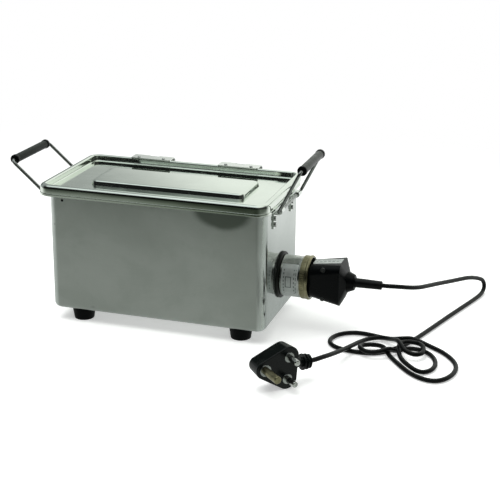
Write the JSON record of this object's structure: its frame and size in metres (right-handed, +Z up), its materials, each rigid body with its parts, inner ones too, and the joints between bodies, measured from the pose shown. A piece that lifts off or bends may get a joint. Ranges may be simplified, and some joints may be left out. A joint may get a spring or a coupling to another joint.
{
  "type": "paraffin wax bath",
  "caption": "Rectangular stainless wax bath with a hinged pressed lid, swinging bail handles, rubber feet, an end-mounted immersion heater, a pull-off connector and a corded three-pin plug.",
  "frame": {"origin": "on the floor under the middle of the tank, in the plane of the four foot bottoms", "axes": "+X to the heater end, -Y the front (the hinges are at +Y), +Z up"},
  "size_m": [0.5734, 0.4192, 0.2178],
  "materials": {
    "tank_steel": "satin stainless sheet with faint horizontal grain",
    "lid_steel": "polished stainless pressing",
    "hinge_steel": "satin stainless strip",
    "plated_steel": "bright plated steel",
    "rivet_metal": "dull headed rivets",
    "grip_plastic": "black moulded tube",
    "foot_rubber": "black moulded rubber",
    "gasket_rubber": "dark sealing ring",
    "element_steel": "dull steel sheath",
    "brass": "turned brass",
    "can_metal": "bright plated cup",
    "label_grey": "plain grey plate, no text",
    "insulator": "cream moulded insulator",
    "black_moulding": "black moulding with a soft shine",
    "cord_rubber": "black flexible sheath",
    "pin_metal": "bright plated pin",
    "tray_steel": "satin perforated sheet and wire"
  },
  "bodies": {
    "tank": {"can_collar": "brass", "can_label": "label_grey", "foot_front_left": "foot_rubber", "foot_front_right": "foot_rubber", "foot_nuts": "plated_steel", "foot_rear_left": "foot_rubber", "foot_rear_right": "foot_rubber", "foot_studs": "plated_steel", "foot_washers": "plated_steel", "handle_lugs_left": "plated_steel", "handle_lugs_right": "plated_steel", "heater_element": "element_steel", "heater_gasket_inner": "gasket_rubber", "heater_gasket_outer": "gasket_rubber", "heater_head": "brass", "heater_lock_nut": "plated_steel", "hinge_rivets_tank": "rivet_metal", "hinge_tank_leaf_left": "hinge_steel", "hinge_tank_leaf_right": "hinge_steel", "lug_rivets_left": "rivet_metal", "lug_rivets_right": "rivet_metal", "tank_shell": "tank_steel", "terminal_block": "insulator", "terminal_can": "can_metal", "terminal_pin_earth": "brass", "terminal_pin_live": "brass", "terminal_pin_neutral": "brass"},
    "lid": {"lid": "lid_steel", "hinge_lid_leaf_left": "hinge_steel", "hinge_lid_leaf_right": "hinge_steel", "hinge_pin_left": "plated_steel", "hinge_pin_right": "plated_steel", "hinge_rivets_lid": "rivet_metal"},
    "left_handle": {"handle_wire_left": "plated_steel", "handle_grip_left": "grip_plastic"},
    "right_handle": {"handle_wire_right": "plated_steel", "handle_grip_right": "grip_plastic"},
    "connector": {"connector_half_front": "black_moulding", "connector_half_rear": "black_moulding", "connector_contacts": "brass", "connector_screws": "plated_steel", "connector_label": "label_grey", "connector_collar": "black_moulding", "cord_sleeve": "cord_rubber", "cord": "cord_rubber", "plug_body": "black_moulding", "plug_boot": "cord_rubber", "plug_pin_live": "pin_metal", "plug_pin_neutral": "pin_metal", "plug_pin_earth": "brass", "plug_pin_collars": "plated_steel"},
    "tray": {"tray": "tray_steel", "tray_legs": "tray_steel", "tray_loops": "tray_steel"}
  },
  "joints": [
    {"name": "lid_hinge", "type": "hinge", "parent": "tank", "child": "lid", "pos_m": [0, 0.0935, 0.174], "axis": [-1, 0, 0], "range_deg": [0, 105]},
    {"name": "left_handle_swing", "type": "hinge", "parent": "tank", "child": "left_handle", "pos_m": [-0.1554, 0, 0.1586], "axis": [0, 1, 0], "range_deg": [-131, 52]},
    {"name": "right_handle_swing", "type": "hinge", "parent": "tank", "child": "right_handle", "pos_m": [0.1474, 0, 0.161], "axis": [0, -1, 0], "range_deg": [-153, 29]},
    {"name": "connector_pull", "type": "slide", "parent": "tank", "child": "connector", "axis": [1, 0, 0], "range_m": [0, 0.03]},
    {"name": "tray_lift", "type": "slide", "parent": "tank", "child": "tray", "axis": [0, 0, 1], "range_m": [0, 0.038]}
  ]
}
